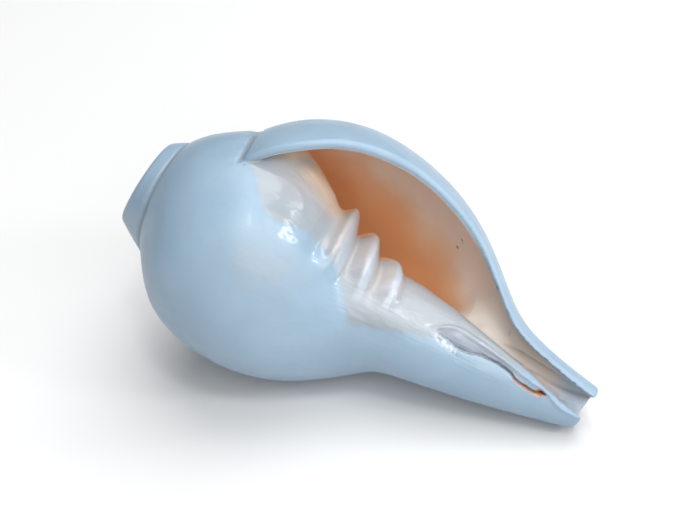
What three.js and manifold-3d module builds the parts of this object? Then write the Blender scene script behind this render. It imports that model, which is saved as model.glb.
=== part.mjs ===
// A polished chank shell with its apex ground off, as it is prepared for blowing.
// Millimetres. The shell is built about its coiling axis: x runs from the ground apex (0) to the canal
// tip, azimuth 0 faces +z (the aperture side) and azimuth 90 faces +y (the lip side). Growth angles are
// in degrees: the front of the body whorl is at -310, and every whorl inward takes off another 360.
// At the end the shell is turned to the pose in which it lies still and set down on z = 0.

import * as THREE from 'three';
import { mergeVertices } from 'three/addons/utils/BufferGeometryUtils.js';
import Module from 'manifold-3d';

const wasm = await Module();
wasm.setup();

// Outer surface, one line per growth angle: distance along the axis and radius of ten features, from
// the suture over the shoulder and the widest point to the waist and the canal tip.
const growthLines = [
  {
    angle: -940,
    along: [-16, -13, -9, -2, 5, 12, 19, 28, 45, 147],
    radius: [4, 6.5, 9.5, 12, 11, 7.6, 5.2, 4.2, 3.6, 3.2],
  },
  {
    angle: -760,
    along: [-9, -4.5, 1, 9, 17, 25, 32, 41, 60, 147],
    radius: [7.8, 10.8, 14, 17.7, 16.6, 11.5, 8, 6, 4.6, 3.8],
  },
  {
    angle: -580,
    along: [-5.5, -1.5, 5, 18, 29, 39, 47, 57, 78, 147],
    radius: [9.8, 12.8, 16.8, 22.6, 21, 15, 10, 7.4, 5.8, 4.5],
  },
  {
    angle: -400,
    along: [7.5, 12, 21, 34, 46, 56, 66, 80, 100, 147],
    radius: [17.6, 21.7, 27.1, 32, 30, 21.3, 14.4, 10.7, 8.8, 5.5],
  },
  {
    angle: -220,
    along: [10.1, 15, 24.5, 43, 60, 74, 84, 97, 121, 147],
    radius: [19.1, 25.2, 33.9, 37.6, 34.6, 26.2, 19.1, 16.1, 12.2, 7.3],
  },
  {
    angle: -40,
    along: [23.1, 31.6, 42.5, 58.5, 79, 96, 109, 120, 133, 147],
    radius: [27.7, 35.1, 41.3, 44.5, 41.4, 33.6, 23.1, 14.5, 10, 6.9],
  },
  {
    angle: 20,
    along: [28.5, 36.5, 47, 64, 85, 102, 114, 123, 134, 147],
    radius: [30, 37, 42.8, 46.8, 43.8, 35, 23.8, 15.4, 10.8, 7.5],
  },
  {
    angle: 90,
    along: [37, 46, 57, 74, 94, 111, 121, 130, 138, 147],
    radius: [35, 41, 45.8, 49.2, 45.4, 35.6, 24.5, 16.2, 11.5, 8.5],
  },
];
const lipGrowthAngle = 50;
const outlinePoints = 90;
const slopeBeforeSuture = 3;

// Azimuth of the lip's edge against distance along the axis.
const lipEdge = [
  [20, 31], [31, 31], [38, 35], [46, 40.5], [55, 47.5], [65, 53], [79, 59.5],
  [92, 63], [103, 64], [112, 58], [122, 49.5], [132, 46], [140, 41.5], [150, 36],
];

// How far down the axis the cavity reaches, against the turn inward from the lip. Past it the
// columella is solid.
const cavityFloor = [
  [-10, 156], [7, 152], [15, 136], [28, 122], [60, 108], [110, 95],
  [200, 80], [290, 71], [350, 64], [530, 40], [740, 18],
];

const wallOfBody = 3.2;
const wallOfCanal = 1.8;
const wallTaper = [95, 125];

// The canal's groove: [along the axis, y, z, radius], open towards +z.
const canal = [
  [86, 19.5, 2, 8.5],
  [100, 15.5, 2, 8],
  [112, 12, 1.5, 6.5],
  [121, 8.5, 1, 5.4],
  [130, 5.5, 0.8, 4.8],
  [138, 3, 0.8, 4.5],
  [148, 1.2, 1.2, 4.2],
  [158, 0.4, 1.4, 4.2],
];
const canalStep = 9;
const canalFacets = 8;
const canalRise = 45;
const canalLean = 0.25;

// Three folds wind round the columella inside the aperture. foldRise is the section of one: distance
// ahead of its crest and share of its height.
const folds = [
  { along: 61.2, height: 4.6 },
  { along: 70.8, height: 4.8 },
  { along: 80.3, height: 2.2 },
];
const foldReference = -400;
const foldSlope = 0.11;
const foldStart = -322;
const foldEnd = -480;
const foldStep = 10;
const foldFade = 45;
const foldRise = [[-5, 0], [-2.2, 0.35], [-0.6, 1], [0.6, 0.85], [1.8, 0]];
const foldRoot = 1.5;
const foldSink = 0.3;

const apexCut = { point: [-0.7, 1.4, 0], normal: [-0.964, 0.107, 0.24] };
const tipCut = { point: [147.5, 0, 0], normal: [0.97, 0, -0.24] };
const blowHole = { radius: 4.5, depth: 24, facets: 20 };

// The way up when the shell lies still, and how deep the belly is flattened where it touches.
const restingUp = [-0.329, 0.655, 0.68];
const restingFlat = 0.3;

const bodyWhorl = { turns: [0, 360], steps: 48, rows: 21, axisStart: 5, end: 150 };
const spireWhorls = [
  { turns: [360, 720], steps: 32, rows: 12, axisStart: -8, end: 60 },
  { turns: [720, 875], steps: 14, rows: 8, axisStart: -17, end: 30 },
];
const rowCrowding = 1.25;
const sutureGuess = 20;
const sutureRounds = 8;

const cavityTurns = [-10, -1, 0, 4, 8, 12, 16, 21, 28, 36];
const cavityLift = 0.25;
const cavityEnd = 732;
const cavityStep = 12;
const cavityRows = 17;
const cavityLeastGap = 0.8;
const cavityLeastDepth = 0.4;
const cavityLeastHeight = 2;
const cavitySearch = { step: 0.25, end: 140 };

const cutSlab = { thick: 60, wide: 240 };
const weldDistance = 0.001;
const sliver = 0.08;

const degrees = THREE.MathUtils.degToRad;

// A smooth function through [position, value, value ...] rows.
function smooth(rows) {
  const size = rows[0].length - 1;
  const positions = rows.map((row) => row[0]);
  const values = rows.flatMap((row) => row.slice(1));
  const interpolant = new THREE.CubicInterpolant(positions, values, size);
  return (at) => interpolant.evaluate(THREE.MathUtils.clamp(at, positions[0], positions.at(-1)));
}

const featuresAt = smooth(growthLines.map(({ angle, along, radius }) => [angle, ...along, ...radius]));
const lipAt = smooth(lipEdge);
const floorAt = smooth(cavityFloor);
const canalAt = smooth(canal);
const outlines = new Map();

// The outer surface's outline at one growth angle, kept for every whole degree.
function outline(angle) {
  const key = Math.round(angle);
  if (!outlines.has(key)) {
    const features = featuresAt(key);
    const count = features.length / 2;
    const points = [];
    for (let i = 0; i < count; i += 1) {
      points.push(new THREE.Vector2(features[i], features[i + count]));
    }
    outlines.set(key, new THREE.SplineCurve(points).getPoints(outlinePoints));
  }
  return outlines.get(key);
}

function outerRadius(angle, along) {
  const points = outline(angle);
  const next = points.findIndex((point) => point.x >= along);
  if (next === -1) {
    return points.at(-1).y;
  }
  if (next === 0) {
    return Math.max(points[0].y - slopeBeforeSuture * (points[0].x - along), 0);
  }
  const t = (along - points[next - 1].x) / (points[next].x - points[next - 1].x);
  return THREE.MathUtils.lerp(points[next - 1].y, points[next].y, t);
}

function wallAt(along) {
  const t = THREE.MathUtils.smoothstep(along, ...wallTaper);
  return THREE.MathUtils.lerp(wallOfBody, wallOfCanal, t);
}

function innerRadius(angle, along) {
  const slope = outerRadius(angle, along + 0.5) - outerRadius(angle, along - 0.5);
  return outerRadius(angle, along) - wallAt(along) * Math.hypot(1, slope);
}

function growthAngle(along, turn) {
  return lipGrowthAngle - lipAt(along)[0] - turn;
}

function place(along, radius, turn) {
  const azimuth = degrees(lipAt(along)[0] + turn);
  return new THREE.Vector3(along, radius * Math.sin(azimuth), radius * Math.cos(azimuth));
}

// Fills an outline with triangles that run the same way round as the outline does.
function capTriangles(capOutline) {
  const sameWay = THREE.ShapeUtils.area(capOutline) > 0;
  return THREE.ShapeUtils.triangulateShape(capOutline, []).map((corners) => {
    const triangleArea = THREE.ShapeUtils.area(corners.map((corner) => capOutline[corner]));
    return triangleArea > 0 === sameWay ? corners : corners.reverse();
  });
}

// A closed solid through a row of loops with the same number of points, capped at both ends.
function sweptSolid(loops, capOutlines) {
  const count = loops[0].length;
  const positions = loops.flat().flatMap((point) => point.toArray());
  const triangles = [];
  for (let i = 0; i + 1 < loops.length; i += 1) {
    for (let j = 0; j < count; j += 1) {
      const a = i * count + j;
      const b = i * count + ((j + 1) % count);
      triangles.push([a, b, b + count], [a, b + count, a + count]);
    }
  }
  const last = (loops.length - 1) * count;
  for (const [a, b, c] of capTriangles(capOutlines[0])) {
    triangles.push([a, c, b]);
  }
  for (const [a, b, c] of capTriangles(capOutlines[1])) {
    triangles.push([last + a, last + b, last + c]);
  }
  const geometry = new THREE.BufferGeometry();
  geometry.setAttribute('position', new THREE.Float32BufferAttribute(positions, 3));
  geometry.setIndex(triangles.flat());
  return solidOf(geometry);
}

// Welds a closed geometry and hands it over for joining and cutting.
function solidOf(source) {
  const bare = source.clone();
  bare.deleteAttribute('normal');
  bare.deleteAttribute('uv');
  const welded = mergeVertices(bare, weldDistance);
  const positions = welded.attributes.position;
  const index = welded.index.array;
  const triangles = [];
  let volume = 0;
  const [a, b, c] = [new THREE.Vector3(), new THREE.Vector3(), new THREE.Vector3()];
  for (let i = 0; i < index.length; i += 3) {
    const corners = [index[i], index[i + 1], index[i + 2]];
    if (new Set(corners).size < 3) {
      continue;
    }
    triangles.push(corners);
    a.fromBufferAttribute(positions, corners[0]);
    b.fromBufferAttribute(positions, corners[1]);
    c.fromBufferAttribute(positions, corners[2]);
    volume += a.dot(b.cross(c));
  }
  const outward = volume > 0 ? triangles : triangles.map((corners) => corners.reverse());
  return new wasm.Manifold(new wasm.Mesh({
    numProp: 3,
    vertProperties: new Float32Array(positions.array),
    triVerts: new Uint32Array(outward.flat()),
  }));
}

// Where the whorl starts along the axis at one turn.
function suture(turn) {
  let along = sutureGuess;
  for (let i = 0; i < sutureRounds; i += 1) {
    along = outline(growthAngle(along, turn))[0].x;
  }
  return along;
}

// One whorl as a solid: the outer surface over a full turn, with its last row on the axis at both ends.
function whorl({ turns, steps, rows, axisStart, end }) {
  const loops = [];
  const sections = [];
  for (let i = 0; i <= steps; i += 1) {
    const turn = THREE.MathUtils.lerp(turns[0], turns[1], i / steps);
    const start = suture(turn);
    const loop = [];
    const section = [];
    for (let j = 0; j < rows; j += 1) {
      const t = j / (rows - 1);
      const along = THREE.MathUtils.lerp(start, end, t ** rowCrowding);
      const radius = outerRadius(growthAngle(along, turn), along);
      loop.push(place(along, radius, turn));
      section.push(new THREE.Vector2(along, radius));
    }
    for (const along of [end, axisStart]) {
      loop.push(new THREE.Vector3(along, 0, 0));
      section.push(new THREE.Vector2(along, 0));
    }
    loops.push(loop);
    sections.push(section);
  }
  return sweptSolid(loops, [sections[0], sections.at(-1)]);
}

// The hollow between one whorl's wall and the whorl inside it, from the aperture inward.
function cavity() {
  const loops = [];
  const sections = [];
  const turns = [...cavityTurns];
  while (turns.at(-1) < cavityEnd) {
    turns.push(turns.at(-1) + cavityStep);
  }
  for (const turn of turns) {
    const gap = (along) => {
      const angle = growthAngle(along, turn);
      return innerRadius(angle, along) - outerRadius(angle - 360, along);
    };
    let top = suture(turn);
    while (gap(top) < cavityLeastGap && top < cavitySearch.end) {
      top += cavitySearch.step;
    }
    const floor = Math.max(floorAt(turn)[0], top + cavityLeastHeight);
    const outside = [];
    const inside = [];
    for (let j = 0; j < cavityRows; j += 1) {
      const along = THREE.MathUtils.lerp(top, floor, j / (cavityRows - 1));
      const angle = growthAngle(along, turn);
      const inner = outerRadius(angle - 360, along) + Math.max(-turn * cavityLift, 0);
      outside.push([along, Math.max(innerRadius(angle, along), inner + cavityLeastDepth)]);
      inside.unshift([along, inner]);
    }
    const ring = [...outside, ...inside];
    loops.push(ring.map(([along, radius]) => place(along, radius, turn)));
    sections.push(ring.map(([along, radius]) => new THREE.Vector2(along, radius)));
  }
  return sweptSolid(loops, [sections[0], sections.at(-1)]);
}

// The open groove of the canal, kept inside the wall on the lip's side.
function canalGroove() {
  const loops = [];
  const sections = [];
  for (let along = canal[0][0]; along <= canal.at(-1)[0]; along += canalStep) {
    const [y, z, radius] = canalAt(along);
    const ring = [[-radius, canalRise], [radius + canalLean * canalRise, canalRise]];
    for (let i = 0; i <= canalFacets; i += 1) {
      const bend = (Math.PI * i) / canalFacets;
      ring.push([radius * Math.cos(bend), -radius * Math.sin(bend)]);
    }
    const limit = innerRadius(lipGrowthAngle - lipAt(along)[0], along);
    const section = ring.map(([across, up]) => {
      const point = new THREE.Vector2(y + across, z + up);
      const azimuth = THREE.MathUtils.radToDeg(Math.atan2(point.x, point.y));
      return azimuth > lipAt(along)[0] && point.length() > limit ? point.setLength(limit) : point;
    });
    loops.push(section.map((point) => new THREE.Vector3(along, point.x, point.y)));
    sections.push(section);
  }
  return sweptSolid(loops, [sections[0], sections.at(-1)]);
}

// One fold: a saw-tooth ridge that slides towards the tip as it winds to the front and fades out.
function fold({ along, height }) {
  const loops = [];
  const sections = [];
  for (let angle = foldStart; angle >= foldEnd; angle -= foldStep) {
    const crest = along + (angle - foldReference) * foldSlope;
    const rise = height * THREE.MathUtils.smoothstep(-angle, -foldStart, -foldStart + foldFade);
    const azimuth = degrees(lipGrowthAngle - 360 - angle);
    const surface = (ahead) => outerRadius(angle, crest + ahead) - foldSink;
    const section = foldRise.map(([ahead, share]) => {
      return new THREE.Vector2(crest + ahead, surface(ahead) + share * rise);
    });
    for (const ahead of [foldRise.at(-1)[0], foldRise[0][0]]) {
      section.push(new THREE.Vector2(crest + ahead, surface(ahead) - foldRoot));
    }
    loops.push(section.map(({ x, y }) => {
      return new THREE.Vector3(x, y * Math.sin(azimuth), y * Math.cos(azimuth));
    }));
    sections.push(section);
  }
  return sweptSolid(loops, [sections[0], sections.at(-1)]);
}

// Everything on the far side of a plane, as a slab to cut away.
function beyond({ point, normal }) {
  const slab = new THREE.BoxGeometry(cutSlab.thick, cutSlab.wide, cutSlab.wide);
  slab.translate(cutSlab.thick / 2, 0, 0);
  const along = new THREE.Vector3(...normal).normalize();
  slab.applyQuaternion(new THREE.Quaternion().setFromUnitVectors(new THREE.Vector3(1, 0, 0), along));
  slab.translate(...point);
  return solidOf(slab);
}

function blowHoleCut() {
  const { radius, depth, facets } = blowHole;
  const drill = new THREE.CylinderGeometry(radius, radius, 2 * depth, facets);
  drill.rotateZ(Math.PI / 2);
  return solidOf(drill);
}

// The flat that the belly lies on: all that is lower than restingFlat above the lowest point.
function restingCut(solid) {
  const up = new THREE.Vector3(...restingUp).normalize();
  const positions = geometryOf(solid).attributes.position;
  const point = new THREE.Vector3();
  let lowest = Infinity;
  for (let i = 0; i < positions.count; i += 1) {
    lowest = Math.min(lowest, point.fromBufferAttribute(positions, i).dot(up));
  }
  point.copy(up).multiplyScalar(lowest + restingFlat);
  return beyond({ point: point.toArray(), normal: up.negate().toArray() });
}

function shellSolid() {
  let solid = whorl(bodyWhorl);
  for (const each of spireWhorls) {
    solid = solid.add(whorl(each));
  }
  solid = solid.subtract(cavity()).subtract(canalGroove());
  for (const each of folds) {
    solid = solid.add(fold(each));
  }
  solid = solid.subtract(beyond(apexCut)).subtract(beyond(tipCut)).subtract(blowHoleCut());
  solid = solid.subtract(restingCut(solid));
  // Two rounds drop the slivers that the cuts leave where two surfaces graze each other.
  const pieces = solidOf(geometryOf(solid.simplify(sliver))).simplify(sliver).decompose();
  return pieces.reduce((kept, piece) => (piece.volume() > kept.volume() ? piece : kept));
}

// Back to a drawable geometry, flat shaded.
function geometryOf(solid) {
  const mesh = solid.getMesh();
  const positions = [];
  for (const vertex of mesh.triVerts) {
    positions.push(...mesh.vertProperties.slice(vertex * mesh.numProp, vertex * mesh.numProp + 3));
  }
  const geometry = new THREE.BufferGeometry();
  geometry.setAttribute('position', new THREE.Float32BufferAttribute(positions, 3));
  geometry.computeVertexNormals();
  return geometry;
}

// Turns the shell so that restingUp points up and the axis runs along x, then sets it on the floor.
function layDown(mesh) {
  const up = new THREE.Vector3(...restingUp).normalize();
  const side = new THREE.Vector3().crossVectors(up, new THREE.Vector3(1, 0, 0)).normalize();
  const ahead = new THREE.Vector3().crossVectors(side, up);
  mesh.quaternion.setFromRotationMatrix(new THREE.Matrix4().makeBasis(ahead, side, up).transpose());
  mesh.updateMatrixWorld();
  const box = new THREE.Box3().setFromObject(mesh, true);
  const middle = box.getCenter(new THREE.Vector3());
  mesh.position.set(-middle.x, -middle.y, -box.min.z);
}

const porcelain = new THREE.MeshStandardMaterial({ color: 0xe6e9f0, roughness: 0.25, metalness: 0 });
const shell = new THREE.Mesh(geometryOf(shellSolid()), porcelain);
shell.name = 'shell';
layDown(shell);

const group = new THREE.Group();
group.add(shell);

export default group;
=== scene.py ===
import math
import time

import bmesh
import bpy
import numpy as np
import openvdb
from mathutils import Matrix, Vector


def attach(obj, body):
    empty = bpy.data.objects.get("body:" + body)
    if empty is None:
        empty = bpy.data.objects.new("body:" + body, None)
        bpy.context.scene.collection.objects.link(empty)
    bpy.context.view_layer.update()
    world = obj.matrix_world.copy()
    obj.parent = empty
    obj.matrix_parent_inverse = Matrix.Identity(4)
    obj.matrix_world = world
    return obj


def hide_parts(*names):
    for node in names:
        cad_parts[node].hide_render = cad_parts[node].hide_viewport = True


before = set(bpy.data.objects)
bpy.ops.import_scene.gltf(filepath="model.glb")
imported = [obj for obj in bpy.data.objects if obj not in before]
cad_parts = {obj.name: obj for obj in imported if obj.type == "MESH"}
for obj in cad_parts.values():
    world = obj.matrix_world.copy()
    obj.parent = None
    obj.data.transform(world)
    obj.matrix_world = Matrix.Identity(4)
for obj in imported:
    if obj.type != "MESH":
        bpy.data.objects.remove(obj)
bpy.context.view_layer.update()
startTime = time.time()


def report(text):
    print("shell: %s (%.0f s)" % (text, time.time() - startTime))


def splineThrough(knots, values, query):
    # natural cubic spline through the knots
    knots = np.asarray(knots, float)
    values = np.asarray(values, float)
    flat = values.reshape(len(knots), -1)
    count = len(knots)
    gap = np.diff(knots)
    matrix = np.zeros((count, count))
    right = np.zeros((count, flat.shape[1]))
    matrix[0, 0] = matrix[-1, -1] = 1
    for i in range(1, count - 1):
        matrix[i, i - 1], matrix[i, i], matrix[i, i + 1] = gap[i - 1], 2 * (gap[i - 1] + gap[i]), gap[i]
        right[i] = 6 * ((flat[i + 1] - flat[i]) / gap[i] - (flat[i] - flat[i - 1]) / gap[i - 1])
    bend = np.linalg.solve(matrix, right)
    query = np.clip(np.asarray(query, float), knots[0], knots[-1])
    i = np.clip(np.searchsorted(knots, query) - 1, 0, count - 2)
    a = ((knots[i + 1] - query) / gap[i])[:, None]
    b = ((query - knots[i]) / gap[i])[:, None]
    cubic = ((a**3 - a) * bend[i] + (b**3 - b) * bend[i + 1]) * (gap[i] ** 2)[:, None] / 6
    return (a * flat[i] + b * flat[i + 1] + cubic).reshape((len(query),) + values.shape[1:])


class Curve:
    # a smooth curve through points, or straight lines, tabulated for quick reading
    def __init__(self, points, smooth=True, step=0.25):
        points = np.array(points, float)
        self.x = np.arange(points[0, 0], points[-1, 0] + step / 2, step)
        knots, values = points[:, 0], points[:, 1:]
        if smooth:
            self.values = splineThrough(knots, values, self.x)
        else:
            self.values = np.stack([np.interp(self.x, knots, column) for column in values.T], 1)

    def at(self, x, column=0):
        return np.interp(x, self.x, self.values[:, column]).astype(np.float32)


def softMin(a, b, k):
    h = np.maximum(k - np.abs(a - b), 0) / k
    return np.minimum(a, b) - h * h * k / 4


def softMax(a, b, k):
    return -softMin(-a, -b, k)


def fadeUp(value, start, over):
    t = np.clip((value - start) / over, 0, 1)
    return t * t * (3 - 2 * t)


def fadeDown(value, start, over):
    return 1 - fadeUp(value, start, over)


def window(value, low, high, fade):
    return fadeUp(value, low - fade, fade) * fadeDown(value, high, fade)


def bump(distance, width):
    return np.exp(-((distance / width) ** 2))


def arc(degreesAcross, radius):
    # millimetres round the surface
    return np.radians(degreesAcross) * radius


# Everything about the shape is in millimetres and in the shell's own frame: x runs down the coiling axis
# from the ground apex, azimuth 0 faces +z (the mouth) and azimuth 90 faces +y (the lip). Growth angles are in
# degrees. The lip grew at 50, and each whorl further in is 360 less.
growth = {
    "lipAngle": 50.0,
    # outer surface at a growth angle: (distance down the axis, radius) of ten features, from the suture to
    # the canal's tip
    "lines": {
        90: [(37, 35), (46, 41), (57, 45.8), (74, 49.2), (94, 45.4), (111, 35.6), (121, 24.5),
             (130, 16.2), (138, 11.5), (147, 8.5)],
        20: [(30.2, 31), (37, 37.3), (47, 42.8), (64, 46.8), (85, 43.8), (102, 35), (114, 23.8),
             (123, 15.4), (134, 10.8), (147, 7.5)],
        -40: [(23.1, 27.7), (31.6, 35.1), (42.5, 41.3), (58.5, 44.5), (79, 41.4), (96, 33.6),
              (109, 23.1), (120, 14.5), (133, 10), (147, 6.9)],
        -220: [(10.1, 19.1), (15, 25.2), (24.5, 33.9), (43, 37.6), (60, 34.6), (74, 26.2), (84, 19.1),
               (97, 16.0), (121, 11.8), (147, 5.9)],
        -400: [(7.5, 17.6), (12, 21.7), (21, 27.1), (33, 31.4), (44, 28.6), (55, 21.6), (66, 14.4),
               (80, 10.9), (100, 9.3), (147, 5.5)],
        -580: [(-5.5, 9.8), (-1.5, 12.8), (5, 16.8), (18, 22.6), (29, 21), (39, 15), (47, 10),
               (57, 7.4), (78, 5.8), (147, 4.5)],
        -760: [(-9, 7.8), (-4.5, 10.8), (1, 14), (9, 17.7), (17, 16.6), (25, 11.5), (32, 8), (41, 6),
               (60, 4.6), (147, 3.8)],
        -940: [(-16, 4), (-13, 6.5), (-9, 9.5), (-2, 12), (5, 11), (12, 7.6), (19, 5.2), (28, 4.2),
               (45, 3.6), (147, 3.2)],
    },
    "slopeBeforeSuture": 3.0, "slopePastTip": 0.2,      # how the radius falls away past those features
    "leastRadius": -20.0, "leastSlopeRadius": 6.0,
    "whorls": (2, 1, 0),            # from the spire outwards
    "inset": 0.02,                  # keeps the surface a hair inside the CAD solid
}
radiusGrid = {"angles": (-940.0, 90.0), "x": (-30.0, 170.0), "xStep": 0.25, "samples": 260}


def radiusTables():
    # the outer radius and how square the surface stands to it, over growth angle and distance down the axis
    xStep = radiusGrid["xStep"]
    angles = np.arange(radiusGrid["angles"][0], radiusGrid["angles"][1] + 0.5, 1.0)
    xs = np.arange(radiusGrid["x"][0], radiusGrid["x"][1] + xStep / 2, xStep)
    keys = sorted(growth["lines"])
    features = splineThrough(keys, [growth["lines"][key] for key in keys], angles)
    radius = np.zeros((len(angles), len(xs)), np.float32)
    for i, points in enumerate(features):
        chord = np.sqrt(np.linalg.norm(np.diff(points, axis=0), axis=1))
        chord = np.concatenate([[0], np.cumsum(chord)])
        line = splineThrough(chord, points, np.linspace(0, chord[-1], radiusGrid["samples"]))
        radius[i] = np.interp(xs, line[:, 0], line[:, 1])
        before = xs < points[0, 0]
        radius[i][before] = points[0, 1] - (points[0, 0] - xs[before]) * growth["slopeBeforeSuture"]
        after = xs > points[-1, 0]
        radius[i][after] = points[-1, 1] - (xs[after] - points[-1, 0]) * growth["slopePastTip"]
    radius = np.maximum(radius, growth["leastRadius"])
    alongSlope = np.gradient(radius, xStep, axis=1)
    roundSlope = np.gradient(radius, math.radians(1), axis=0)
    roundSlope = roundSlope / np.maximum(radius, growth["leastSlopeRadius"])
    square = (1 / np.sqrt(1 + alongSlope**2 + roundSlope**2)).astype(np.float32)
    return radius, square


radiusTable, squareTable = radiusTables()


def look(table, angle, x):
    i = np.clip(angle - radiusGrid["angles"][0], 0, table.shape[0] - 1.001)
    j = np.clip((x - radiusGrid["x"][0]) / radiusGrid["xStep"], 0, table.shape[1] - 1.001)
    row, column = i.astype(np.int32), j.astype(np.int32)
    i, j = (i - row).astype(np.float32), (j - column).astype(np.float32)
    flat, width = table.ravel(), table.shape[1]
    at = row * width + column
    this = flat[at] * (1 - j) + flat[at + 1] * j
    after = flat[at + width] * (1 - j) + flat[at + width + 1] * j
    return this * (1 - i) + after * i


lip = {
    # azimuth of the lip's edge down the axis
    "edge": [(-30, 31), (20, 31), (31, 31.5), (38, 37.5), (46, 43.5), (55, 50.5), (65, 56), (79, 62),
             (92, 64.5), (103, 64.5), (112, 58), (122, 49.5), (132, 46), (140, 41.5), (150, 36),
             (170, 36)],
    "rounding": 2.2,
}
lipCurve = Curve(lip["edge"])
wall = {"body": 3.2, "canal": 1.8, "taperFrom": 95.0, "taperOver": 30.0}


def polar(x, y, z):
    # distance from the axis, azimuth, the lip's azimuth there, and degrees inward from the lip (-110 to 250)
    rho = np.sqrt(y * y + z * z) + 1e-6
    azimuth = np.degrees(np.arctan2(y, z))
    edge = lipCurve.at(x)
    return rho, azimuth, edge, (azimuth - edge + 110) % 360 - 110


def wallAt(x):
    taper = np.clip((x - wall["taperFrom"]) / wall["taperOver"], 0, 1)
    return wall["body"] - (wall["body"] - wall["canal"]) * taper


folds = {
    # section of the three folds on the columella: (down the axis, height)
    "section": [(54, 0), (57, -0.4), (59.3, 2.0), (60.8, 4.3), (61.8, 4.9), (62.7, 4.4), (63.4, 2.8),
                (64.1, 0.5), (64.8, -0.1), (65.8, 0.9), (67.2, 2.7), (68.8, 4.3), (69.8, 4.6),
                (70.8, 3.8), (71.5, 2.1), (72.2, 0.2), (72.9, -0.4), (74.3, 0.4), (76.4, 1.7),
                (78, 2.1), (79.2, 1.6), (80.3, 0.4), (81.5, -0.1), (84, 0), (90, 0)],
    # how far they slide down the axis with the growth angle, and spread apart from the centre as they do
    "slide": [(-940, -46), (-400, 0), (-383, 1.9), (-370, 3.0), (-350, 4.6), (-335, 5.4), (-318, 5.7)],
    "spread": 0.02, "centre": 62.0,
    # they end towards the lip, and shrink up the spire
    "endAngle": -305.0, "endOver": 40.0,
    "shrinkFrom": -400.0, "shrinkOver": 700.0, "smallest": 0.35,
    "crests": ((62.6, 64.1), (70.6, 72.2), (78.9, 80.3)), "crestFade": 0.5,
}
foldCurve = Curve(folds["section"])
slideCurve = Curve(folds["slide"], smooth=False)


def foldHeight(x, angle):
    slide = slideCurve.at(angle)
    section = (x + slide * (folds["spread"] * folds["centre"] - 1)) / (1 + folds["spread"] * slide)
    size = fadeUp(-angle, -folds["endAngle"], folds["endOver"])
    size = size * np.clip(1 + (angle - folds["shrinkFrom"]) / folds["shrinkOver"], folds["smallest"], 1)
    return foldCurve.at(section) * size


callus = {
    # edge of the glazed callus: azimuth against distance down the axis
    "edge": [(34, 33), (38.9, 28.6), (41.7, 23.3), (45.8, 17.2), (50.6, 14.6), (54, 17.3), (58, 19.5),
             (62, 19), (66.1, 16.3), (69.2, 9.4), (72.9, -5.3), (75.4, -16.8), (77.9, -27.3),
             (81.6, -28.9), (86.5, -23.1), (92.6, -16.8), (97.5, -9.9), (100.7, -6), (104, -4.5),
             (109.2, -5.5), (113.6, 0), (117.6, 2.6), (122.6, 1.6), (126.3, -8), (130, -12.2),
             (140, -20)],
    "thickness": 0.15, "softness": 4.0,
    "start": 34.0, "fadeIn": 2.0, "end": 120.0, "fadeOut": 14.0,
}
callusCurve = Curve(callus["edge"])
callusRidge = {
    # the low ridge that the callus makes under the suture
    "path": [(34, 31), (35.1, 32.1), (40.2, 33.8), (45.5, 36.6), (49.1, 37.2), (51.4, 35.6), (54, 32)],
    "height": 0.3, "width": 1.2, "span": (34.5, 52.5, 3.0),         # a span is from, to and fade
}
ridgeCurve = Curve(callusRidge["path"])
flap = {
    # rim of the flap that the callus makes along the canal, and the trough behind it
    "rim": [(97, -4), (99.9, 5), (102.2, 13.2), (104.4, 19.4), (107.8, 22.2), (111.6, 20.8),
            (115.5, 18.4), (119.3, 15.9), (123.1, 12), (127.2, 7), (131, 3), (134.8, -1.5), (137.3, -8),
            (139.4, -16.5), (142.3, -23.4), (145.6, -24.5), (150, -25)],
    "rimHeight": 0.45, "rimWidth": 0.7, "span": (102, 149, 3),
    "troughDepth": [(100, 0), (104, 0.7), (108, 1.05), (113, 0.9), (118, 0.5), (124, 0.4), (131, 0.45),
                    (136, 0.2), (139, 0)],
    "troughEase": 1.2, "troughSide": 0.35, "narrowest": 0.3,
}
rimCurve = Curve(flap["rim"])
troughCurve = Curve(flap["troughDepth"], smooth=False)
crack = {
    # the crack where the flap lies against the outside, with a pit at its end and crumbs at its start
    "path": [(97, 9), (101, 4), (102.8, 0.8), (104.8, -0.8), (106.9, -3.4), (109.2, -4.7),
             (111.5, -3.4), (113.6, 0.3), (115.2, 2.2), (117.6, 3.2), (120.5, 2.9), (122.6, 1.8),
             (124.3, -1.6), (126.3, -7.6), (128.3, -11), (130, -12.4), (131.4, -13.4), (132.6, -12.9),
             (133.6, -10.6), (137, -9)],
    "depth": [(101, 0), (104, 0.5), (108, 0.7), (116, 0.75), (120, 1.1), (127, 1.3), (133, 1.5),
              (134.8, 1.6), (135.8, 0)],
    "width": 0.3,
    "wander": 0.07, "waves": ((1, 1.3, 0), (0.6, 2.7, 1), (0.3, 4.3, 0)), "wanderSpan": (104, 134, 4),
    "pit": (133.8, -10.4), "pitRadius": 0.75, "pitDepth": 1.3,
    "crumbs": 0.1, "crumbsAside": 0.8, "crumbsWidth": 0.8, "crumbsSpan": (103, 110, 2),
    "crumbWaves": ((5.3, 1.2, 1.1, 0), (9.1, 0, 2.3, 1)),
}
crackCurve = Curve(crack["path"])
crackDepthCurve = Curve(crack["depth"], smooth=False)


def callusWeight(x, azimuth, radius, reach=0.0):
    across = arc(azimuth - callusCurve.at(x), radius) + reach
    along = fadeUp(x, callus["start"], callus["fadeIn"]) * fadeDown(x, callus["end"], callus["fadeOut"])
    return fadeUp(across, -callus["softness"] / 2, callus["softness"]) * along


def fromRim(x, azimuth, radius):
    return arc(azimuth - rimCurve.at(x), radius)


def fromCrack(x, azimuth, radius):
    wander = sum(share * np.sin(x * pace + phase) for share, pace, phase in crack["waves"])
    wander = crack["wander"] * wander * window(x, *crack["wanderSpan"])
    return arc(azimuth - crackCurve.at(x), radius) + wander


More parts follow.
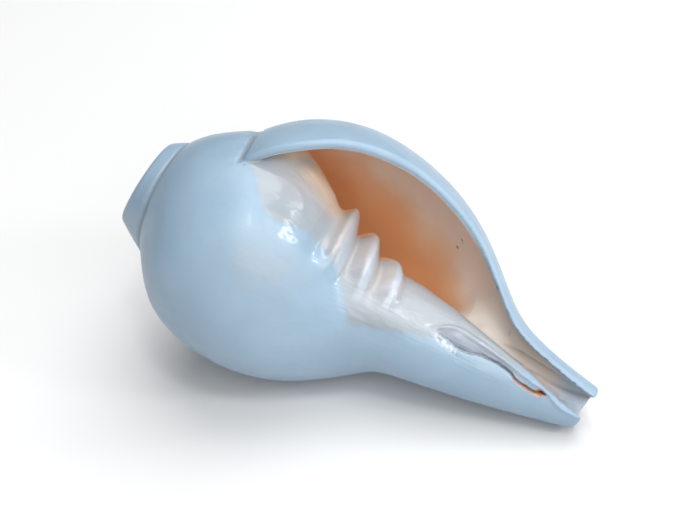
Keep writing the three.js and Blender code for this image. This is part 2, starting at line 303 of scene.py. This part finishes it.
def fromPit(x, azimuth, radius):
    return np.hypot(x - crack["pit"][0], arc(azimuth - crack["pit"][1], radius))


def frontRelief(x, azimuth, radius):
    # what lies on the front of the last whorl but one: callus, ridge, flap, trough and crack
    relief = callus["thickness"] * callusWeight(x, azimuth, radius)
    ridge = bump(arc(azimuth - ridgeCurve.at(x), radius), callusRidge["width"])
    relief += callusRidge["height"] * ridge * window(x, *callusRidge["span"])
    rim = fromRim(x, azimuth, radius)
    relief += flap["rimHeight"] * bump(rim, flap["rimWidth"]) * window(x, *flap["span"])
    gap = fromCrack(x, azimuth, radius)
    share = np.clip(gap / np.maximum(gap - rim, flap["narrowest"]), 0, 1)
    trough = troughCurve.at(x) * (1 - share) ** flap["troughEase"] * fadeUp(gap, 0, flap["troughSide"])
    relief -= np.where((gap > 0) & (rim < 0), trough, 0)
    relief -= crackDepthCurve.at(x) * bump(gap, crack["width"])
    relief -= crack["pitDepth"] * bump(fromPit(x, azimuth, radius), crack["pitRadius"])
    crumbs = sum(np.sin(x * a + b) * np.sin(azimuth * c + d) for a, b, c, d in crack["crumbWaves"])
    crumbs = np.maximum(crumbs, 0) * bump(gap + crack["crumbsAside"], crack["crumbsWidth"])
    return relief + crack["crumbs"] * crumbs * window(x, *crack["crumbsSpan"])


canal = {
    # bed of the canal's groove: (down the axis, y, z, radius)
    "bed": [(90, 19, 2, 8.5), (100, 16.6, 2, 7.7), (105, 14.6, 1.8, 7.1), (112, 12, 1.5, 6.5),
            (121, 8.5, 1, 5.4), (130, 5.5, 0.8, 4.8), (138, 3, 0.8, 4.5), (148, 1.2, 1.2, 4.2),
            (160, 0.2, 1.4, 4.2)],
    "lean": 0.25, "from": 92.0, "fade": 6.0, "rounding": 2.0,
    "bedFrom": 88.0, "farAway": 30.0,
}
bedCurve = Curve(canal["bed"])


def canalField(x, y, z):
    bedY, bedZ, bedRadius = bedCurve.at(x), bedCurve.at(x, 1), bedCurve.at(x, 2)
    up = np.maximum(z - bedZ, 0)
    groove = np.sqrt((y - bedY - canal["lean"] * up) ** 2 + np.minimum(z - bedZ, 0) ** 2) - bedRadius
    groove = np.where(x < canal["bedFrom"], canal["farAway"], groove)
    return softMax(groove, canal["from"] - x, canal["fade"])


cavity = {
    # how far down the axis the hollow reaches, against the growth angle
    "floor": [(-940, 5), (-760, 18), (-580, 38), (-400, 60), (-300, 70), (-220, 78), (-130, 92),
              (-80, 104), (-40, 120), (-15, 150), (0, 190)],
    "floorSlope": 0.8, "rounding": 4.0,
    "canalRounding": 3.5, "canalFade": (98, 10),        # added in the canal
}
floorCurve = Curve(cavity["floor"], smooth=False, step=1)
columella = {
    "radius": 4.0, "blend": 0.5, "overlap": 1.0, "trim": 0.05,
    "canalBlend": 3.0, "canalFade": (97, 14), "canalInward": (25, 130, 20),     # added in the canal
}
suture = {"depth": 0.7, "width": 0.4, "lipAt": -1.0, "lipOver": 3.0}
frontOf = {"from": 34.0, "azimuth": 75.0}       # where a whorl carries the callus and the flap
stubKeel = {"along": 8.0, "height": 0.3, "width": 1.4, "azimuth": -15.0, "spread": 30.0}
handPolish = {
    # how far the polished surface wanders from true, as slow waves and finer ones
    "height": 0.035, "slow": (3.2, 0.0, 5, 9.0), "swing": 2.1, "fine": (1.9, 1.7, 9, -6.0), "fineShare": 0.5,
    "from": 12.0, "over": 10.0,
}
cuts = {
    "apexPoint": (-0.7, 1.4, 0.0), "apexNormal": (-0.964, 0.107, 0.24), "apexRounding": 1.2,
    "tipPoint": (146.3, 0.0, 0.0), "tipNormal": (0.963, -0.12, -0.24), "tipRounding": 1.0,
    "holeRadius": 4.5, "holeDepth": 24.0, "holeRounding": 0.8,
}


def polishWaves(x, rho, azimuth):
    a = np.radians(azimuth)
    length, phase, around, lean = handPolish["slow"]
    slow = np.sin(x / length + phase + handPolish["swing"] * np.sin(a * 2)) * np.sin(a * around + x / lean)
    length, phase, around, lean = handPolish["fine"]
    fine = np.sin(x / length + phase) * np.sin(a * around + x / lean)
    strength = np.clip((rho - handPolish["from"]) / handPolish["over"], 0, 1)
    return handPolish["height"] * (slow + handPolish["fineShare"] * fine) * strength


def planeField(x, y, z, point, normal):
    return (x - point[0]) * normal[0] + (y - point[1]) * normal[1] + (z - point[2]) * normal[2]


def shellField(x, y, z, notes=None):
    # signed distance to the shell's surface, near enough: negative inside the shell's substance
    rho, azimuth, edge, inward = polar(x, y, z)
    body = rho - columella["radius"]
    inner = None
    inCanal = fadeUp(x, *columella["canalFade"]) * window(inward, *columella["canalInward"])
    hollowRounding = cavity["rounding"] + cavity["canalRounding"] * fadeUp(x, *cavity["canalFade"])
    for whorl in growth["whorls"]:
        angle = growth["lipAngle"] - edge - inward - 360 * whorl
        radius = look(radiusTable, angle, x)
        if whorl >= 1:
            radius = radius + foldHeight(x, angle)
        if whorl == 1:
            front = (x > frontOf["from"]) & (np.abs(azimuth) < frontOf["azimuth"])
            radius[front] += frontRelief(x[front], azimuth[front], np.maximum(radius[front], 1))
        if whorl == 2:
            keel = stubKeel["height"] * bump(x - stubKeel["along"], stubKeel["width"])
            radius = radius + keel * bump(azimuth - stubKeel["azimuth"], stubKeel["spread"])
        outer = (rho - radius) * look(squareTable, angle, x)
        bottom = (x - floorCurve.at(angle)) * cavity["floorSlope"]
        sheet = np.maximum(outer, -softMax(outer + wallAt(x), bottom, hollowRounding))
        if whorl == 0:
            cap = rho * np.sin(np.radians(np.clip(-inward, -90, 90)))
            sheet = softMax(sheet, cap, lip["rounding"])
        added = columella["canalBlend"] * inCanal if whorl == 0 else 0
        if inner is not None:
            sheet = softMax(sheet, -(inner + columella["overlap"]), columella["trim"] + added)
        inner = outer
        groove = np.exp(-(outer**2 + body**2) / suture["width"] ** 2)
        if whorl == 0:
            groove = groove * np.clip((inward - suture["lipAt"]) / suture["lipOver"], 0, 1)
        if notes is not None:
            notes["outer%d" % whorl] = outer
            notes["groove"] = np.maximum(notes.get("groove", 0), groove)
        body = softMin(sheet, body, columella["blend"] + added) + suture["depth"] * groove
        if whorl == 1:
            body = softMax(body, -canalField(x, y, z), canal["rounding"])
    body = softMax(body, planeField(x, y, z, cuts["apexPoint"], cuts["apexNormal"]), cuts["apexRounding"])
    body = softMax(body, planeField(x, y, z, cuts["tipPoint"], cuts["tipNormal"]), cuts["tipRounding"])
    hole = np.maximum(rho - cuts["holeRadius"], x - cuts["holeDepth"])
    body = softMax(body, -hole, cuts["holeRounding"])
    return body + growth["inset"] + polishWaves(x, rho, azimuth)


meshing = {
    "low": (-8.0, -46.0, -50.0), "high": (156.0, 52.0, 50.0),
    "step": 0.6, "quickStep": 1.0, "slab": 12, "background": 10.0,
    "triangles": 178000,            # before the crack is refined
    "probe": 0.05, "projections": 3, "leastSlope": 0.25, "longestMove": 0.3,
}
refining = {"reaches": (2.4, 1.5), "from": 101.0, "to": 137.0, "leastRadius": 5.0}
resting = {
    "up": (-0.329, 0.655, 0.68),
    "flat": 0.45,                   # taken off the belly, so that the mesh stays inside the CAD solid's box
}


def gradientOf(points):
    step = meshing["probe"]
    grad = np.zeros_like(points)
    for axis in range(3):
        ahead, behind = points.copy(), points.copy()
        ahead[:, axis] += step
        behind[:, axis] -= step
        grad[:, axis] = (shellField(*ahead.T) - shellField(*behind.T)) / (2 * step)
    return grad


def surfaceQuads():
    step = meshing["step"]
    slab = meshing["slab"]
    axes = [np.arange(a, b, step, dtype=np.float32) for a, b in zip(meshing["low"], meshing["high"])]
    values = np.empty([len(axis) for axis in axes], np.float32)
    y, z = np.meshgrid(axes[1], axes[2], indexing="ij")
    for i in range(0, len(axes[0]), slab):
        block = np.broadcast_arrays(axes[0][i:i + slab][:, None, None], y, z)
        values[i:i + slab] = shellField(*[np.ascontiguousarray(part) for part in block])
    report("field measured on %d points" % values.size)
    grid = openvdb.FloatGrid(meshing["background"])
    grid.copyFromArray(values)
    points, quads = grid.convertToQuads(0.0)
    return points * step + np.array(meshing["low"]), quads


def addMesh(name, points, faces):
    mesh = bpy.data.meshes.new(name)
    mesh.from_pydata(points.tolist(), [], faces.tolist())
    mesh.update()
    thing = bpy.data.objects.new(name, mesh)
    bpy.context.scene.collection.objects.link(thing)
    return thing


def meshPoints(mesh):
    points = np.zeros(len(mesh.vertices) * 3, np.float32)
    mesh.vertices.foreach_get("co", points)
    return points.reshape(-1, 3).astype(float)


def thinTo(thing, ratio):
    thing.modifiers.new("thin", "DECIMATE").ratio = ratio
    mesh = bpy.data.meshes.new_from_object(thing.evaluated_get(bpy.context.evaluated_depsgraph_get()))
    old = thing.data
    thing.modifiers.clear()
    thing.data = mesh
    bpy.data.meshes.remove(old)


def refineNear(thing, reach):
    # splits the faces that lie within reach of the crack
    x, y, z = meshPoints(thing.data).T
    rho, azimuth, _, _ = polar(x, y, z)
    near = (np.abs(fromCrack(x, azimuth, rho)) < reach) & (x > refining["from"]) & (x < refining["to"])
    near &= (rho > refining["leastRadius"]) & (z > 0)
    rings = bmesh.new()
    rings.from_mesh(thing.data)
    rings.verts.ensure_lookup_table()
    chosen = [edge for edge in rings.edges if near[edge.verts[0].index] and near[edge.verts[1].index]]
    bmesh.ops.subdivide_edges(rings, edges=chosen, cuts=1, use_grid_fill=True)
    bmesh.ops.triangulate(rings, faces=rings.faces)
    rings.to_mesh(thing.data)
    rings.free()
    thing.data.update()


def buildShell():
    points, quads = surfaceQuads()
    thing = addMesh("shell_surface", points, quads)
    triangles = 2 * len(quads)
    if triangles > meshing["triangles"]:
        thinTo(thing, meshing["triangles"] / triangles)
    report("surface of %d faces" % len(thing.data.polygons))
    for reach in refining["reaches"]:
        refineNear(thing, reach)
    report("surface of %d faces after refining the crack" % len(thing.data.polygons))
    points = meshPoints(thing.data)
    longest = meshing["longestMove"]
    for _ in range(meshing["projections"]):
        grad = gradientOf(points)
        steep = np.maximum((grad**2).sum(1), meshing["leastSlope"])
        move = (shellField(*points.T) / steep)[:, None] * grad
        points -= np.clip(move, -longest, longest)
    return thing, points


def flattenBelly(points):
    # a hair is taken off where the shell touches the floor, as in the CAD solid
    up = np.array(Vector(resting["up"]).normalized())
    height = points @ up
    height -= height.min()
    return points + np.maximum(resting["flat"] - height, 0)[:, None] * up


def restingFrame(points):
    # the rotation into the pose in which the shell lies still, and the shift that sets it on the floor
    up = Vector(resting["up"]).normalized()
    side = up.cross(Vector((1, 0, 0))).normalized()
    ahead = side.cross(up)
    turn = np.array([ahead, side, up])
    placed = points @ turn.T
    low, high = placed.min(0), placed.max(0)
    return turn, -np.array([(low[0] + high[0]) / 2, (low[1] + high[1]) / 2, low[2]])


shell, localPoints = buildShell()
localPoints = flattenBelly(localPoints)
turn, shift = restingFrame(localPoints)


def toFrame(points):
    return (np.asarray(points, float) @ turn.T + shift) * 0.001


def directionToFrame(direction):
    return Vector(turn @ np.array(direction, float))


def smoothShading(thing, points):
    mesh = thing.data
    mesh.polygons.foreach_set("use_smooth", np.ones(len(mesh.polygons), bool))
    grad = gradientOf(points)
    normals = (grad / np.maximum(np.linalg.norm(grad, axis=1, keepdims=True), 1e-9)) @ turn.T
    mesh.normals_split_custom_set_from_vertices(normals.tolist())


shell.data.vertices.foreach_set("co", toFrame(localPoints).astype(np.float32).ravel())
shell.data.update()
smoothShading(shell, localPoints)
report("shell set down, %.1f mm long" % (np.ptp(toFrame(localPoints)[:, 0]) * 1000))


# Where each tint lies. A fade is from and over, and a span is from, to and fade. They are in millimetres down
# the axis, or in degrees of azimuth where the name says around.
markings = {
    # the inside's tint, on the body and in the canal: share of the wall it starts at, share it fades over,
    # and millimetres it fades over from the lip
    "mouth": (0.45, 0.4, 1.2), "mouthInCanal": (0.2, 0.8, 2.7), "canalFade": (98, 8),
    "coilFade": (1.2, 1.0), "coilTo": 86.0,
    "depthLean": 0.16, "depthLeanFrom": 60.0, "deepest": 1.2,
    "wallFade": (0.6, 1.2),
    "peachAround": (38, 22), "peachAlong": (50, 58, 7), "peachTopAround": (44, 16), "peachTopAlong": (42, 4),
    "orangeAround": (68, 16), "orangeAlong": (100, 12),
    "frontSkin": 1.5, "frontFrom": 34.0, "frontAzimuth": 100.0,
    "foldRise": (56, 3), "foldFall": (78, 6), "foldAround": (0, 35), "crestAround": (-12, 20),
    "borderFade": (1, 14), "glazeReach": 5.0, "glazeFade": (46, 5),
    "canalFrontFrom": 100.0, "canalFrontAzimuth": 40.0,
    "troughRim": (0.2, 1.2), "troughCrack": (-0.3, 0.6), "troughSpan": (104, 122, 5),
    "stainAside": 0.1, "stainWidth": 0.5, "stainRise": (122, 8), "stainFall": (135, 1.5), "pitStain": 1.25,
    "darkLineWidth": 0.28, "darkLineRise": (105, 14), "darkLineFall": (123, 5), "darkLineLost": 0.9,
    "chalkAside": 1.0, "chalkWidth": 1.1, "chalkSpan": (102.5, 107, 2.5),
    "patchAt": (52.0, -10.0), "patchSize": (9.0, 7.0),
    "specks": [(110.4, 19.2, 10.8), (118.0, 9.8, -0.8), (91.0, 27.6, -12.8), (89.8, 25.4, -16.4)],
    "speckRadius": 0.45,
}


def insideMarks(x, azimuth, inward, rho, notes):
    inCanal = fadeUp(x, *markings["canalFade"])
    both = zip(markings["mouth"], markings["mouthInCanal"])
    start, over, overLip = [here + (there - here) * inCanal for here, there in both]
    under = np.where(inward > 0, -notes["outer0"], 0) / wallAt(x)
    coil = np.where(x < markings["coilTo"], np.maximum(-notes["outer1"], -notes["outer2"]), -1)
    lean = markings["depthLean"] * np.maximum(x - markings["depthLeanFrom"], 0)
    depth = np.clip((inward - lean) / 100, 0, markings["deepest"])
    peach = fadeUp(azimuth, *markings["peachAround"]) * window(x, *markings["peachAlong"])
    peachTop = fadeUp(azimuth, *markings["peachTopAround"]) * fadeDown(x, *markings["peachTopAlong"])
    return {
        "mouth": np.maximum(fadeUp(under, start, over) * fadeUp(arc(inward, rho), 0.0, overLip),
                            fadeUp(coil, *markings["coilFade"])),
        "depth": np.where(coil > markings["coilFade"][0], 1, depth),
        "wallSide": np.maximum(fadeUp(np.abs(notes["outer1"]), *markings["wallFade"]), inCanal),
        "peach": np.maximum(peach, peachTop),
        "orange": fadeUp(azimuth, *markings["orangeAround"]) * fadeDown(x, *markings["orangeAlong"]),
    }


def frontMarks(x, azimuth, angle, rho, notes):
    onFront = (np.abs(notes["outer1"]) < markings["frontSkin"]) & (x > markings["frontFrom"])
    onFront &= np.abs(azimuth) < markings["frontAzimuth"]
    section = x - slideCurve.at(angle)
    fold = fadeUp(section, *markings["foldRise"]) * fadeDown(section, *markings["foldFall"])
    # this mask lays a painted highlight, a lighter and bluer band, along the tops of the folds
    crestHighlight = sum(window(section, low, high, folds["crestFade"]) for low, high in folds["crests"])
    border = fadeDown(arc(azimuth - callusCurve.at(x), rho), *markings["borderFade"])
    reach = markings["glazeReach"] * fadeUp(x, *markings["glazeFade"])
    return {
        "callus": np.where(onFront, callusWeight(x, azimuth, rho), 0),
        "cream": fold * fadeUp(azimuth, *markings["foldAround"]) * onFront,
        "crestHighlight": crestHighlight * onFront * fadeUp(azimuth, *markings["crestAround"]),
        "border": np.where(onFront, border, 0),
        "glaze": np.where(onFront, callusWeight(x, azimuth, rho, reach), 0),
    }


def crackMarks(x, azimuth, rho):
    near = (np.abs(azimuth) < markings["canalFrontAzimuth"]) & (x > markings["canalFrontFrom"])
    rim, gap = fromRim(x, azimuth, rho), fromCrack(x, azimuth, rho)
    # the trough mark lays painted shade in the hollow between the flap's rim and the crack
    trough = fadeUp(-rim, *markings["troughRim"]) * fadeUp(gap, *markings["troughCrack"])
    stain = bump(gap + markings["stainAside"], markings["stainWidth"])
    stain *= fadeUp(x, *markings["stainRise"]) * fadeDown(x, *markings["stainFall"])
    # darker along the crack itself, less so towards its lower end
    darkLine = bump(gap, markings["darkLineWidth"]) * fadeUp(x, *markings["darkLineRise"])
    chalk = bump(gap + markings["chalkAside"], markings["chalkWidth"]) * window(x, *markings["chalkSpan"])
    return {
        "trough": near * trough * window(x, *markings["troughSpan"]),
        "stain": near * np.maximum(stain, bump(fromPit(x, azimuth, rho), markings["pitStain"])),
        "crackDark": near * darkLine * (1 - markings["darkLineLost"] * fadeUp(x, *markings["darkLineFall"])),
        "chalk": near * chalk,
    }


def spotMarks(points, azimuth, rho):
    x, z = points[:, 0], points[:, 2]
    across = (x - markings["patchAt"][0]) / markings["patchSize"][0]
    sideways = arc(azimuth - markings["patchAt"][1], rho) / markings["patchSize"][1]
    away = np.min([np.linalg.norm(points - speck, axis=1) for speck in markings["specks"]], axis=0)
    return {
        "patch": np.where(z > 0, bump(np.hypot(across, sideways), 1.0), 0),
        "speck": bump(away, markings["speckRadius"]),
    }


def surfaceMarks(points):
    # how much of each tint every point carries
    x, y, z = points.T
    notes = {}
    shellField(x, y, z, notes)
    rho, azimuth, edge, inward = polar(x, y, z)
    angle = growth["lipAngle"] - edge - inward - 360
    marks = {"groove": notes["groove"], "growth": growth["lipAngle"] - azimuth, "along": x}
    marks.update(insideMarks(x, azimuth, inward, rho, notes))
    marks.update(frontMarks(x, azimuth, angle, rho, notes))
    marks.update(crackMarks(x, azimuth, rho))
    marks.update(spotMarks(points, azimuth, rho))
    return marks


def writeMarks(thing, points):
    for name, values in surfaceMarks(points).items():
        layer = thing.data.attributes.new(name, "FLOAT", "POINT")
        layer.data.foreach_set("value", np.asarray(values, np.float32).ravel())


writeMarks(shell, localPoints)
report("tints written")


def addNode(tree, kind, inputs=None, **settings):
    node = tree.nodes.new(kind)
    for name, value in settings.items():
        setattr(node, name, value)
    for name, value in (inputs or {}).items():
        if isinstance(value, bpy.types.NodeSocket):
            tree.links.new(value, node.inputs[name])
        else:
            node.inputs[name].default_value = value
    return node


class Mixer:
    # short names for the nodes a material is built from
    def __init__(self, material):
        material.use_nodes = True
        self.tree = material.node_tree
        self.bsdf = self.tree.nodes["Principled BSDF"]
        self.place = addNode(self.tree, "ShaderNodeTexCoord").outputs["Object"]

    def mark(self, name, share=1.0):
        mark = addNode(self.tree, "ShaderNodeAttribute", attribute_name=name).outputs["Fac"]
        return mark if share == 1 else self.maths("MULTIPLY", mark, share)

    def maths(self, operation, a, b):
        return addNode(self.tree, "ShaderNodeMath", {0: a, 1: b}, operation=operation).outputs[0]

    def noise(self, scale, detail=3.0, roughness=0.5, distortion=0.0, place=None):
        inputs = {"Vector": place or self.place, "Scale": scale, "Detail": detail, "Roughness": roughness,
                  "Distortion": distortion}
        return addNode(self.tree, "ShaderNodeTexNoise", inputs).outputs["Fac"]

    def stretched(self, scales):
        inputs = {"Vector": self.place, "Scale": scales}
        return addNode(self.tree, "ShaderNodeMapping", inputs).outputs["Vector"]

    def span(self, value, low, high, newLow=0.0, newHigh=1.0):
        inputs = {"Value": value, "From Min": low, "From Max": high, "To Min": newLow, "To Max": newHigh}
        node = addNode(self.tree, "ShaderNodeMapRange", inputs, interpolation_type="SMOOTHSTEP")
        return node.outputs["Result"]

    def blend(self, factor, a, b):
        a = a if isinstance(a, bpy.types.NodeSocket) else a + (1,)
        b = b if isinstance(b, bpy.types.NodeSocket) else b + (1,)
        return addNode(self.tree, "ShaderNodeMix", {0: factor, 6: a, 7: b}, data_type="RGBA").outputs[2]

    def without(self, value):
        return self.maths("SUBTRACT", 1.0, value)

    def between(self, factor, a, b):
        a = self.maths("MULTIPLY", a, self.without(factor))
        return self.maths("ADD", a, self.maths("MULTIPLY", factor, b))

    def together(self, x, y, z):
        return addNode(self.tree, "ShaderNodeCombineXYZ", {0: x, 1: y, 2: z}).outputs[0]

    def feed(self, value, name):
        self.tree.links.new(value, self.bsdf.inputs[name])


tones = {
    # linear colours
    "outside": (0.275, 0.385, 0.488), "outsideDeep": (0.246, 0.348, 0.446),
    "outsideGrey": (0.28, 0.33, 0.38), "patch": (0.325, 0.37, 0.405),
    "callus": (0.355, 0.365, 0.395), "callusBorder": (0.285, 0.325, 0.36),
    # trough on the next line is painted shade for the flap's hollow
    "trough": (0.17, 0.20, 0.26), "cream": (0.47, 0.43, 0.41), "peach": (0.64, 0.51, 0.40),
    # the first tone on the next line is a painted highlight along the tops of the folds
    "crestHighlight": (0.43, 0.49, 0.56), "insideRim": (0.99, 0.96, 0.90), "insideNear": (0.93, 0.69, 0.47),
    # insideRim above is lifted paler than the wall's own tint as painted light, and canal is darkened in part
    # as painted shade
    "insideFar": (0.92, 0.475, 0.225), "canal": (0.57, 0.49, 0.43), "canalEnd": (0.40, 0.45, 0.51),
    # the dark tone on the next line is painted shade in the suture groove and a dark line along the crack
    "stain": (0.42, 0.16, 0.035), "darkLine": (0.12, 0.085, 0.07), "speck": (0.05, 0.035, 0.03),
    "chalk": (0.56, 0.61, 0.65),
}
shares = {
    # how strongly each tint is laid on
    "cream": 0.6, "peach": 1.0, "crestHighlight": 0.85, "trough": 0.9, "crackDark": 0.75, "groove": 0.7, "speck": 1.0,
}
grain = {
    # each noise as scale, detail, roughness and distortion, then which part of it is spread over which values
    "cloudy": ((38, 3, 0.55, 0.6), (0.35, 0.7)),
    "growthLines": ((1.6, 4, 0.65, 0.25), (0.5, 0.75, 0, 0.25)),
    "dull": ((160, 4, 0.6), (0.3, 0.6, 0.3, 0.7)),
    "ragged": ((260, 4), (0.3, 0.7, -0.2, 0.2)),
    "deep": ((45, 3), (0.3, 0.7, -0.06, 0.06)),
    "rusty": ((350, 4, 0.6), (0.3, 0.55, 0.4, 1)),
    "chalky": ((900, 3, 0.6), (0.42, 0.6)),
    "worn": ((120, 4, 0.65), (0.3, 0.7, 0.3, 0.45)),
    "facets": ((230, 1, 0.4, 0.3), (0.6, 1.6, 1.1)),        # with how far it is stretched
    "scratches": (1500, 3, 0.6),
    "growthPace": 0.22, "alongPace": 0.035,
}
spans = {
    "callusEdge": (0.05, 0.95), "rimToNear": (0.5, 0.82), "nearToFar": (0.6, 0.95), "canal": (93, 126),
    "canalEnd": (131, 141), "glaze": (0.1, 0.9),
}
polish = {
    "callusRoughness": 0.28, "insideRoughness": 0.42, "specular": 0.35, "ior": 1.5,
    "coat": (0.06, 0.6), "coatRoughness": 0.08,             # from the bare outside to the glaze
    "subsurface": 0.1, "subsurfaceRadius": (0.004, 0.003, 0.002),
    "bump": (0.25, 0.8), "bumpDistance": 0.0003, "scratches": 0.02, "growthLines": 0.5,
}


def spread(mix, name):
    noise, span = grain[name]
    return mix.span(mix.noise(*noise), *span)


def outsideColour(mix, lines):
    # bluish white, clouded, with faint growth lines running with the lip
    colour = mix.blend(spread(mix, "cloudy"), tones["outside"], tones["outsideDeep"])
    colour = mix.blend(mix.span(lines, *grain["growthLines"][1]), colour, tones["outsideGrey"])
    return mix.blend(mix.maths("MULTIPLY", mix.mark("patch"), spread(mix, "dull")), colour, tones["patch"])


def glazedColour(mix):
    # callus and folds, with a painted highlight along the folds' tops and painted shade in the flap's trough
    colour = mix.blend(mix.mark("border"), tones["callus"], tones["callusBorder"])
    for name in ("cream", "peach", "crestHighlight", "trough"):
        colour = mix.blend(mix.mark(name, shares[name]), colour, tones[name])
    return colour


def insideColour(mix, glazed):
    # from the pale rim to orange-brown in the depths, and greyer down the canal; the rim's tint is lifted
    # paler as painted light, and the canal's tint is darkened in part as painted shade
    depth = mix.maths("ADD", mix.mark("depth"), spread(mix, "deep"))
    colour = mix.blend(mix.span(depth, *spans["rimToNear"]), tones["insideRim"], tones["insideNear"])
    colour = mix.blend(mix.span(depth, *spans["nearToFar"]), colour, tones["insideFar"])
    for name in ("canal", "canalEnd"):
        colour = mix.blend(mix.span(mix.mark("along"), *spans[name]), colour, tones[name])
    parietal = mix.blend(mix.mark("orange"), glazed, tones["insideFar"])
    return mix.blend(mix.mark("wallSide"), parietal, colour)


def withStainsAndLines(mix, colour):
    # stain, a dark line along the crack and in the suture groove (in the groove it is painted shade), specks
    # and crumbs
    rusty = mix.maths("MULTIPLY", mix.mark("stain"), spread(mix, "rusty"))
    colour = mix.blend(rusty, colour, tones["stain"])
    # in the suture groove this dark tone is painted shade; the specks are the shell's own
    for name, tone in (("crackDark", "darkLine"), ("groove", "darkLine"), ("speck", "speck")):
        colour = mix.blend(mix.mark(name, shares[name]), colour, tones[tone])
    chalky = mix.maths("MULTIPLY", mix.mark("chalk"), spread(mix, "chalky"))
    return mix.blend(chalky, colour, tones["chalk"])


def polishedShell():
    material = bpy.data.materials.new("polished_shell")
    mix = Mixer(material)
    pace = (mix.mark("growth", grain["growthPace"]), mix.mark("along", grain["alongPace"]))
    lines = mix.noise(*grain["growthLines"][0], mix.together(*pace, 0.0))

    glazed = glazedColour(mix)
    ragged = mix.maths("ADD", mix.mark("callus"), spread(mix, "ragged"))
    colour = mix.blend(mix.span(ragged, *spans["callusEdge"]), outsideColour(mix, lines), glazed)
    colour = mix.blend(mix.mark("mouth"), colour, insideColour(mix, glazed))
    mix.feed(withStainsAndLines(mix, colour), "Base Color")

    glazing = mix.span(mix.mark("glaze"), *spans["glaze"])
    inMouth = mix.maths("MULTIPLY", mix.mark("mouth"), mix.mark("wallSide"))
    rough = mix.between(glazing, spread(mix, "worn"), polish["callusRoughness"])
    mix.feed(mix.between(inMouth, rough, polish["insideRoughness"]), "Roughness")
    coat = mix.maths("MULTIPLY", mix.without(inMouth), mix.span(glazing, 0, 1, *polish["coat"]))
    mix.feed(coat, "Coat Weight")

    # polishing facets, fine scratches and growth lines
    noise, stretch = grain["facets"]
    height = mix.noise(*noise, mix.stretched(stretch))
    scratches = mix.noise(*grain["scratches"])
    height = mix.maths("ADD", height, mix.maths("MULTIPLY", scratches, polish["scratches"]))
    height = mix.maths("ADD", height, mix.maths("MULTIPLY", lines, polish["growthLines"]))
    inputs = {"Strength": mix.span(glazing, 0, 1, *polish["bump"]), "Distance": polish["bumpDistance"],
              "Height": height}
    relief = addNode(mix.tree, "ShaderNodeBump", inputs).outputs["Normal"]
    mix.feed(relief, "Normal")
    mix.feed(relief, "Coat Normal")
    mix.bsdf.inputs["Specular IOR Level"].default_value = polish["specular"]
    mix.bsdf.inputs["IOR"].default_value = polish["ior"]
    mix.bsdf.inputs["Coat Roughness"].default_value = polish["coatRoughness"]
    mix.bsdf.inputs["Subsurface Weight"].default_value = polish["subsurface"]
    mix.bsdf.inputs["Subsurface Radius"].default_value = polish["subsurfaceRadius"]
    return material


shell.data.materials.append(polishedShell())
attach(shell, "root")
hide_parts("shell")
report("material built")

view = {
    "tilt": 14.0,           # the view leans towards the canal tip by this much off the shell's +z
    "roll": 27.1,           # the axis runs down to the right by this much
    "distance": 480.0,
    "lens": 85.1,
    "sensor": 36.0,
    "clip": 0.01,
    "aimAt": (75.0, 0.0, 0.0),
    "aside": -3.94,
    "above": 9.7,
}


def addCamera():
    tilt, roll = math.radians(view["tilt"]), math.radians(view["roll"])
    back = Vector((math.sin(tilt), 0, math.cos(tilt)))
    along = Vector((math.cos(tilt), 0, -math.sin(tilt)))
    across = Vector((0, 1, 0))
    right = along * math.cos(roll) + across * math.sin(roll)
    up = -along * math.sin(roll) + across * math.cos(roll)
    place = Vector(view["aimAt"]) + right * view["aside"] + up * view["above"] + back * view["distance"]
    camera = bpy.data.cameras.new("camera")
    camera.sensor_width = view["sensor"]
    camera.lens = view["lens"]
    camera.clip_start = view["clip"]
    thing = bpy.data.objects.new("camera", camera)
    bpy.context.scene.collection.objects.link(thing)
    columns = [directionToFrame(axis) for axis in (right, up, back)]
    thing.matrix_world = Matrix.Translation(toFrame([place])[0]) @ Matrix(columns).transposed().to_4x4()
    bpy.context.scene.camera = thing


addCamera()

floor = {"reach": 3.0, "colour": (0.71, 0.71, 0.71), "roughness": 0.7, "specular": 0.1}


def addFloor():
    r = floor["reach"]
    corners = np.array([(-r, -r, 0), (r, -r, 0), (r, r, 0), (-r, r, 0)], float)
    thing = addMesh("floor", corners, np.array([(0, 1, 2, 3)]))
    material = bpy.data.materials.new("pale_floor")
    material.use_nodes = True
    bsdf = material.node_tree.nodes["Principled BSDF"]
    bsdf.inputs["Base Color"].default_value = floor["colour"] + (1,)
    bsdf.inputs["Roughness"].default_value = floor["roughness"]
    bsdf.inputs["Specular IOR Level"].default_value = floor["specular"]
    thing.data.materials.append(material)


addFloor()

studio = {
    "world": (0.93, 0.97, 1.0), "worldStrength": 0.11,
    # name: azimuth (0 is -y, 90 is +x), elevation, distance and size (metres), power (watts)
    "lights": {
        "ceiling": (165, 70, 1.6, 1.8, 25.5),
        "overhead": (50, 60, 1.4, 0.2, 2.6),
        "side": (89, 31, 1.3, 0.2, 2.6),
        "window": (120, 33, 1.3, 0.16, 1.0),
        "front": (48, 40, 2.2, 2.6, 49.0),
    },
}


def addLights():
    world = bpy.data.worlds.new("studio")
    bpy.context.scene.world = world
    world.use_nodes = True
    background = world.node_tree.nodes["Background"]
    background.inputs["Color"].default_value = studio["world"] + (1,)
    background.inputs["Strength"].default_value = studio["worldStrength"]
    for name, (azimuth, elevation, distance, size, power) in studio["lights"].items():
        light = bpy.data.lights.new(name, "AREA")
        light.shape = "DISK"
        light.size = size
        light.energy = power
        thing = bpy.data.objects.new(name, light)
        bpy.context.scene.collection.objects.link(thing)
        azimuth, elevation = math.radians(azimuth), math.radians(elevation)
        flat = math.cos(elevation) * distance
        height = math.sin(elevation) * distance
        thing.location = (flat * math.sin(azimuth), -flat * math.cos(azimuth), height)
        thing.rotation_mode = "QUATERNION"
        thing.rotation_quaternion = thing.location.to_track_quat("Z", "Y")


addLights()
bpy.context.scene.view_settings.view_transform = "Standard"
report("camera, floor and lights set up")
